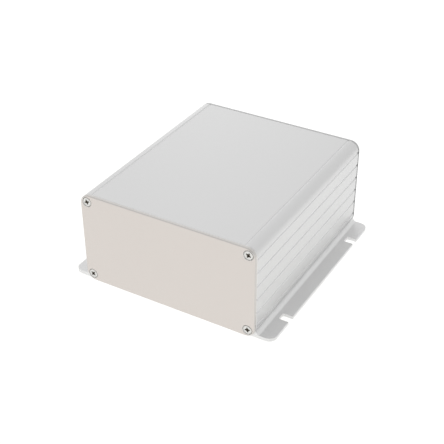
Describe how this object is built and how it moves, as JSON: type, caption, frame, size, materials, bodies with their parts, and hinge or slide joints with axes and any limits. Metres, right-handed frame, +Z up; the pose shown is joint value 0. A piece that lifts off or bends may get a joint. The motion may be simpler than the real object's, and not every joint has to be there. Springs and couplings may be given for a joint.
{
  "type": "extruded aluminium enclosure",
  "caption": "Silver extruded aluminium case with grooved sides, flat screwed end plates and slotted mounting flanges along both bottom edges.",
  "frame": {"origin": "centre of the underside, in the plane that the case stands on", "axes": "+Z up, Y along the extrusion with the front plate at -Y, X across the flanges"},
  "size_m": [0.126, 0.1256, 0.0553],
  "materials": {
    "anodised_shell": "fine satin silver anodising, drawn along Y",
    "end_plate": "fine matte anodising, a little warmer than the shells",
    "screw": "bright plated steel"
  },
  "bodies": {
    "root": {"upper_shell": "anodised_shell", "lower_shell": "anodised_shell", "front_plate": "end_plate", "rear_plate": "end_plate", "front_screw_upper_left": "screw", "front_screw_upper_right": "screw", "front_screw_lower_left": "screw", "front_screw_lower_right": "screw", "rear_screw_upper_left": "screw", "rear_screw_upper_right": "screw", "rear_screw_lower_left": "screw", "rear_screw_lower_right": "screw"}
  },
  "joints": []
}
